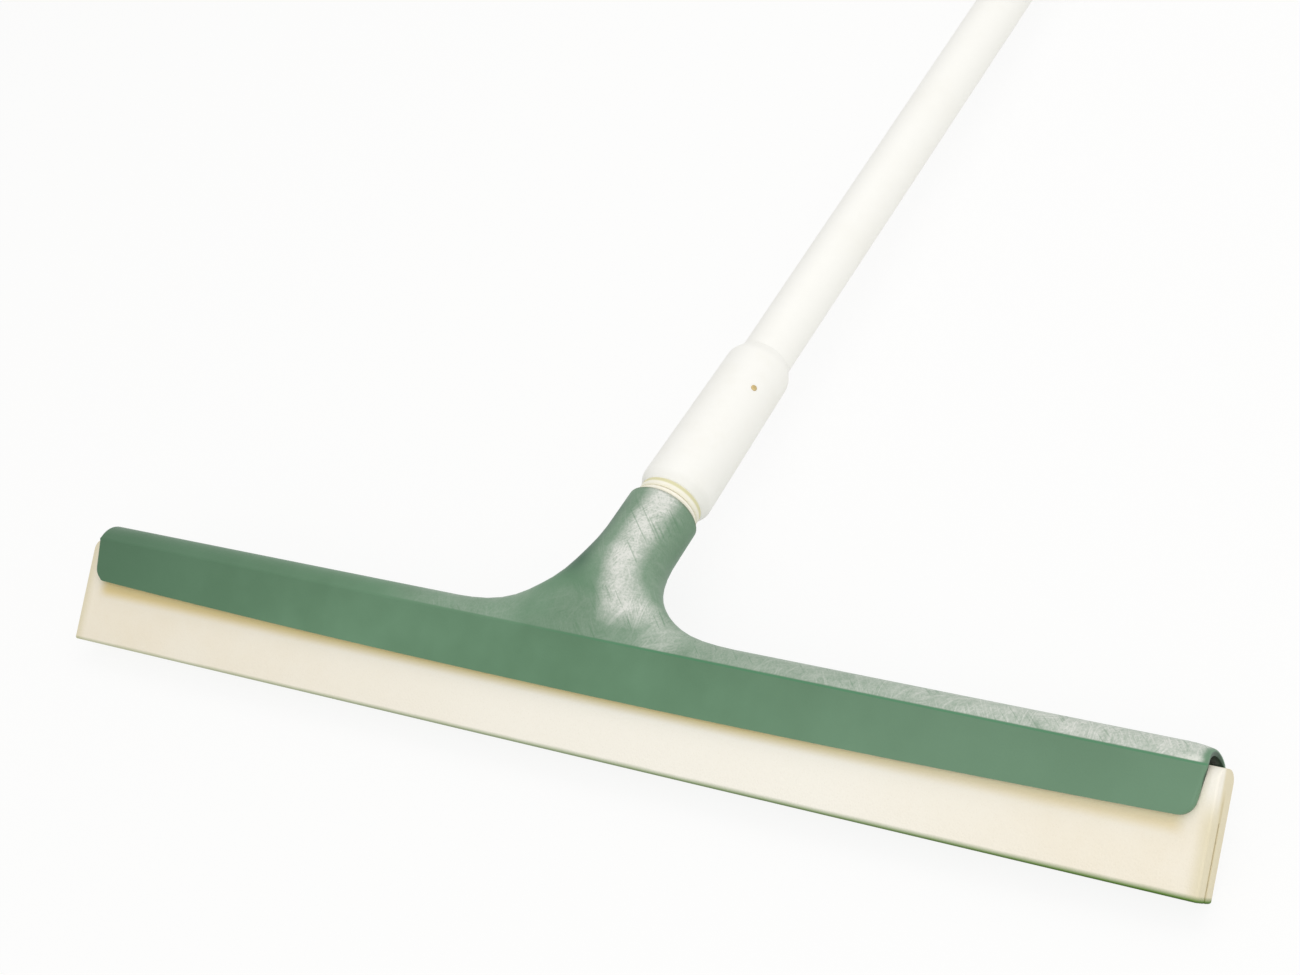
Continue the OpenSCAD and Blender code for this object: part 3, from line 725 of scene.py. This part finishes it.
    # Beads along the inner walls, which key the blade.
    for side in (-1, 1):
        spot = Matrix.Translation((0, side * (CHAN_IN + BEAD_SET), BEAD_Z))
        bmesh.ops.create_cone(
            bm, cap_ends=True, segments=20, radius1=BEAD_R, radius2=BEAD_R,
            depth=CHAN_LEN - 2 * BEAD_SHORT, matrix=spot @ Matrix.Rotation(math.pi / 2, 4, "Y"),
        )
    return set_down(
        "head_moulding", bm, LAID, material, "head", "head_body",
        edge=0.7, sharp=40,
    )


def folded_blade(material):
    bm = bmesh.new()
    half = BLADE_T / 2
    side = [
        (LEAF_SLIT / 2, SLIT_TOP), (LEAF_SLIT / 2, 0), (half, 0), (half, BEAD_Z - GROOVE_HALF),
        (half - GROOVE_DEEP, BEAD_Z), (half, BEAD_Z + GROOVE_HALF), (half, BLADE_H),
    ]
    right = [bm.verts.new((-BLADE_END, y, z)) for y, z in side]
    left = [bm.verts.new((-BLADE_END, -y, z)) for y, z in side]
    bm.faces.new(right + left[::-1])
    # Corners in the order of the outline: slit, slit's mouth, tip, groove, fold.
    for index, radius, segments in (
        (0, 0.45, 3), (1, 0.6, 3), (2, TIP_R, 4), (4, 0.7, 3), (6, FOLD_R, 10),
    ):
        round_corners(bm, [right[index], left[index]], radius, segments)
    # Stations along the blade, closer at the ends.
    near_end = [BLADE_END - inset for inset in END_INSETS]
    middle = [
        (BLADE_END - MIDDLE_INSET) * (i / BLADE_STEPS - 1) for i in range(2 * BLADE_STEPS + 1)
    ]
    stations = [-x for x in near_end] + middle + near_end[::-1]
    cap = bm.faces[:]
    for near, far in zip(stations, stations[1:]):
        made = bmesh.ops.extrude_face_region(bm, geom=cap)["geom"]
        cap = only(made, bmesh.types.BMFace)
        bmesh.ops.translate(bm, verts=only(made, bmesh.types.BMVert), vec=(far - near, 0, 0))
    for v in bm.verts:
        # The groove is pressed in by the channel's beads, so it dies out where the ends are free.
        grooved = abs(v.co.z - BEAD_Z) < GROOVE_HALF and abs(v.co.y) > half - 2 * GROOVE_DEEP
        if grooved and abs(v.co.x) > BLADE_END - FREE_END:
            v.co.y = math.copysign(half, v.co.y)
        # Below the channel the soft leaves draw in by up to 0.3 mm, in long waves.
        slack = max(0, 1 - v.co.z / SLIT_TOP)
        wave = 1 + math.sin(v.co.x / WAVE_SHORT) * math.cos(v.co.x / WAVE_LONG + 1)
        v.co.y *= 1 - WAVE_SHARE * slack * wave
    bmesh.ops.recalc_face_normals(bm, faces=bm.faces)
    # The knife's edges at both ends are worn round, but not at the slit.
    cut_edges = dict.fromkeys(
        e for f in bm.faces if abs(f.calc_center_median().x) > BLADE_END - HAIR
        for e in f.edges
        if min(abs(v.co.y) for v in e.verts) > 2 * LEAF_SLIT or e.verts[0].co.z > SLIT_TOP + 1
    )
    bmesh.ops.bevel(
        bm, geom=list(cut_edges), offset=CUT_EDGE, offset_type="OFFSET", affect="EDGES",
        segments=4, profile=0.5, material=-1, clamp_overlap=True,
    )
    piece = set_down(
        "folded_blade", bm, LAID, material, "blade", "blade_rubber",
        edge=0.35, sharp=50,
    )
    return piece


def sealing_ring(material):
    bore = CORE_R + RING_GAP
    bm = turned(
        [(bore, RING_LOW), (RING_R, RING_LOW), (RING_R, RING_TOP), (bore, RING_TOP)],
        rounds=((1, 1.1), (2, 1.1)),
    )
    return set_down("sealing_ring", bm, HANDLE, material, "seal", "neck_ring")


def screw_plug(material):
    bm = turned(
        [(0, SPIGOT_LOW), (CORE_R, SPIGOT_LOW), (CORE_R, COLLAR_LOW), (COLLAR_R, COLLAR_LOW),
         (COLLAR_R, COLLAR_TOP), (PLUG_R, COLLAR_TOP), (PLUG_R, PLUG_TOP), (0, PLUG_TOP)],
        rounds=((1, 1.2), (3, 0.5), (4, 0.5), (6, 1.0)), closed=False,
    )
    # The ridge climbs a pitch in each turn, and its ends run down into the core.
    ridge = [
        bm.verts.new((r, 0, THREAD_LOW + side * w / 2))
        for r, side, w in (
            (CORE_R - THREAD_ROOT, -1, THREAD_FOOT), (CORE_R + THREAD_H, -1, THREAD_CREST),
            (CORE_R + THREAD_H, 1, THREAD_CREST), (CORE_R - THREAD_ROOT, 1, THREAD_FOOT),
        )
    ]
    loop = [bm.edges.new((a, b)) for a, b in zip(ridge, ridge[1:] + ridge[:1])]
    last = bmesh.ops.spin(
        bm, geom=ridge + loop, cent=(0, 0, 0), axis=(0, 0, 1),
        dvec=(0, 0, THREAD_PITCH * THREAD_TURNS / THREAD_STEPS),
        angle=2 * math.pi * THREAD_TURNS, steps=THREAD_STEPS,
    )["geom_last"]
    for end in (ridge, only(last, bmesh.types.BMVert)):
        out = sum((v.co for v in end), Vector()) / len(end)
        inwards = Vector((-out.x, -out.y, 0)).normalized()
        bmesh.ops.translate(bm, verts=end, vec=inwards * (THREAD_H + THREAD_ROOT))
    bmesh.ops.recalc_face_normals(bm, faces=bm.faces)
    return set_down("screw_plug", bm, HANDLE, material, "handle", "screw_plug")


def ferrule(material):
    floor_r = PLUG_R + PUSH_GAP
    bm = turned(
        [(floor_r, COLLAR_TOP), (COLLAR_R, COLLAR_TOP), (FERRULE_LOW_R, COLLAR_TOP + LOW_BEVEL),
         (FERRULE_TOP_R, FERRULE_TOP - TOP_BEVEL), (SLEEVE_R + MOUTH_WALL, FERRULE_TOP),
         (SLEEVE_R, FERRULE_TOP), (SLEEVE_R, TUBE_LOW), (floor_r, TUBE_LOW)],
        rounds=((1, 0.4), (2, 1.4), (3, 1.8)),
    )
    return set_down("ferrule", bm, HANDLE, material, "handle", "ferrule")


def rivets(material):
    # A domed head on a shank, drawn upright, turned to stand out of the ferrule, and its twin
    # opposite.
    head_top = RIVET_SEAT + RIVET_HEAD_H
    bm = turned(
        [(0, RIVET_END), (RIVET_R, RIVET_END), (RIVET_R, RIVET_SEAT), (RIVET_HEAD_R, RIVET_SEAT),
         (RIVET_HEAD_R, RIVET_SEAT + RIVET_BRIM_H), (RIVET_DOME_R, head_top), (0, head_top)],
        rounds=((4, 0.2), (5, 0.5)), closed=False, steps=32,
    )
    twin = bmesh.ops.duplicate(bm, geom=bm.verts[:] + bm.edges[:] + bm.faces[:])["geom"]
    bmesh.ops.rotate(
        bm, verts=only(twin, bmesh.types.BMVert), cent=(0, 0, 0),
        matrix=Matrix.Rotation(math.pi, 3, "X"),
    )
    stand = (
        HANDLE
        @ Matrix.Translation((0, 0, RIVET_Z))
        @ Matrix.Rotation(RIVET_TURN, 4, "Z")
        @ Matrix.Rotation(math.pi / 2, 4, "Y")
    )
    return set_down(
        "ferrule_rivets", bm, stand, material, "handle", "ferrule_rivets",
    )


def tube_cover(material):
    bm = turned(
        [(COVER_IN, TUBE_LOW), (COVER_R, TUBE_LOW), (COVER_R, TUBE_TOP), (COVER_IN, TUBE_TOP)],
        rounds=((1, 0.2), (2, 0.2)),
    )
    return set_down("tube_cover", bm, HANDLE, material, "handle", "tube_cover")


def hanging_cap(material):
    bm = turned(
        [(0, CAP_LOW), (PLUG_R, CAP_LOW), (PLUG_R, TUBE_TOP), (COVER_R, TUBE_TOP),
         (COVER_R, RIM_TOP), (0, RIM_TOP)],
        rounds=((1, 1.5), (3, 0.3), (4, 2.0)), closed=False,
    )
    # Tab: a straight-sided tongue with a round end, drawn outwards from the hanging hole.
    spot = Matrix.Translation((0, -TAB_T / 2, HANG_Z))
    hole = bmesh.ops.create_circle(
        bm, segments=HOLE_STEPS, radius=HANG_R, matrix=spot @ Matrix.Rotation(math.pi / 2, 4, "X"),
    )["verts"]
    edge = dict.fromkeys(e for v in hole for e in v.link_edges)
    made = bmesh.ops.extrude_edge_only(bm, edges=list(edge))["geom"]
    drop = HANG_Z - RIM_TOP + TAB_FOOT
    for v in only(made, bmesh.types.BMVert):
        x, z = v.co.x / HANG_R, (v.co.z - HANG_Z) / HANG_R
        out = TAB_R if z > -TOUCH else min(drop / -z, TAB_R / max(abs(x), TOUCH))
        v.co.x, v.co.z = x * out, HANG_Z + z * out
    plate = only(made, bmesh.types.BMFace)
    made = bmesh.ops.extrude_face_region(bm, geom=plate)["geom"]
    bmesh.ops.translate(bm, verts=only(made, bmesh.types.BMVert), vec=(0, TAB_T, 0))
    bmesh.ops.recalc_face_normals(bm, faces=bm.faces)
    return set_down(
        "hanging_cap", bm, HANDLE, material, "handle", "hang_cap",
        edge=1.2, sharp=50,
    )


head_moulding(moulded_polypropylene())
folded_blade(cellular_rubber())
# Natural rubber, pressed: a dull cream ring with straw-coloured patches.
sealing_ring(handle_plastic("pressed_rubber", "#fcf8ec", "#f3ebd2", 0.62, 6, 1.2))
# Polypropylene left uncoloured and moulded: a warm cream with a soft gloss, and painted shade at
# its joints.
screw_plug(handle_plastic(
    "uncoloured_polypropylene", "#f7f4e8", "#efe9d6", 0.5, 9, 1.5,
    joints_mm=((COLLAR_LOW, 0.2), (COLLAR_TOP - 1.2, 1.0)),
))
# Polyethylene, moulded white: waxy, with a little grime in its handling marks.
ferrule(handle_plastic("white_polyethylene", "#f7f7f5", "#f2f1ec", 0.55, 14, 1.6))
# PVC sleeve shrunk on the tube: white with a soft gloss and faint draw lines.
tube_cover(handle_plastic("shrunk_pvc", "#f7f7f5", "#f3f2ee", 0.5, 30, 1.2))
# Polyethylene, moulded: the cap's waxy white, greyer than the ferrule's.
hanging_cap(handle_plastic("moulded_polyethylene", "#f1f0e8", "#e8e6da", 0.48, 12, 1.6))
# Brass, headed cold: a tanned straw yellow.
rivets(drawn_metal("headed_brass", "#d2bd8a", "#b59f6c", 0.42, 0.6, HANDLE))

for node, material in (
    # Rigid PVC strip, extruded: grey with faint extrusion lines.
    ("blade_spine", handle_plastic("extruded_pvc", "#8f9596", "#7f8586", 0.5, 20, 1.0)),
    # Zinc-plated steel wire, cut to length: a cool grey with a dull shine.
    ("blade_pins", drawn_metal("plated_steel", "#c4c8c8", "#a3a8a8", 0.38, 0.5, LAID)),
    # Aluminium tube, drawn: pale grey, brighter along its draw lines.
    ("handle_tube", drawn_metal("drawn_aluminium", "#d6d8d8", "#b9bcbd", 0.36, 0.8, HANDLE)),
):
    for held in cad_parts[node].material_slots:
        held.material = material


def seen_white(tree):
    """1 for what the camera sees, also in a reflection or through glass, and 0 for light."""
    path = add(tree, "ShaderNodeLightPath").outputs
    seen = path["Is Camera Ray"]
    for ray in ("Is Glossy Ray", "Is Transmission Ray"):
        seen = add(tree, "ShaderNodeMath", {0: seen, 1: path[ray]}, operation="MAXIMUM").outputs[0]
    return seen


def paper_floor():
    # Matt white paper: seen as white, and it still takes the shadow.
    material, tree = start("paper_floor")
    share = add(tree, "ShaderNodeMath", {
        0: seen_white(tree), 1: 0.88,
    }, operation="MULTIPLY").outputs[0]
    paper = add(tree, "ShaderNodeBsdfDiffuse", {"Color": linear("#f2f2f0")}).outputs[0]
    white = add(tree, "ShaderNodeEmission", {"Color": (1, 1, 1, 1), "Strength": 1.0}).outputs[0]
    mixed = add(tree, "ShaderNodeMixShader", {0: share, 1: paper, 2: white}).outputs[0]
    add(tree, "ShaderNodeOutputMaterial", {"Surface": mixed})
    return material


sheet = bmesh.new()
bmesh.ops.create_grid(sheet, x_segments=8, y_segments=8, size=9)
floor_mesh = bpy.data.meshes.new("floor")
sheet.to_mesh(floor_mesh)
sheet.free()
floor_mesh.materials.append(paper_floor())
floor = bpy.data.objects.new("floor", floor_mesh)
scene.collection.objects.link(floor)

world = bpy.data.worlds.new("studio")
scene.world = world
world.use_nodes = True
sky = world.node_tree
sky.nodes.clear()
fill = add(sky, "ShaderNodeBackground", {"Color": linear("#fffefa"), "Strength": 0.68}).outputs[0]
white = add(sky, "ShaderNodeBackground", {"Color": (1, 1, 1, 1), "Strength": 1.0}).outputs[0]
lit = add(sky, "ShaderNodeMixShader", {0: seen_white(sky), 1: fill, 2: white}).outputs[0]
add(sky, "ShaderNodeOutputWorld", {"Surface": lit})


def softbox(name, place, target, size, watts):
    lamp = bpy.data.lights.new(name, "AREA")
    lamp.shape = "RECTANGLE"
    lamp.size, lamp.size_y = size
    lamp.energy = watts
    lamp.color = (1.0, 0.985, 0.955)
    box = bpy.data.objects.new(name, lamp)
    box.location = place
    box.rotation_euler = (Vector(target) - Vector(place)).to_track_quat("-Z", "Y").to_euler()
    scene.collection.objects.link(box)


NECK = (0.0, -0.6, 0.04)
softbox("key", (0.12, 0.04, 1.17), NECK, (0.9, 0.9), 3.2)
softbox("front", (0.9, -1.8, 1.4), NECK, (1.4, 1.4), 10)
softbox("side", (1.7, -0.5, 0.8), NECK, (1.2, 1.0), 2.5)

# Camera at the photograph's viewing angle, 1300 x 975.
EYE = (0.63127, -1.16522, 0.81033)
RIGHT = Vector((0.82715357, 0.46356168, -0.31769095))
FORWARD = Vector((-0.54566492, 0.52728728, -0.65132014))
camera_data = bpy.data.cameras.new("camera")
camera_data.sensor_fit = "HORIZONTAL"
camera_data.sensor_width = 36
camera_data.lens = 70.43
camera_data.clip_start, camera_data.clip_end = 0.05, 60
camera = bpy.data.objects.new("camera", camera_data)
facing = Matrix((RIGHT, RIGHT.cross(FORWARD), -FORWARD)).transposed().to_4x4()
camera.matrix_world = Matrix.Translation(EYE) @ facing
scene.collection.objects.link(camera)
scene.camera = camera
scene.view_settings.view_transform = "Standard"
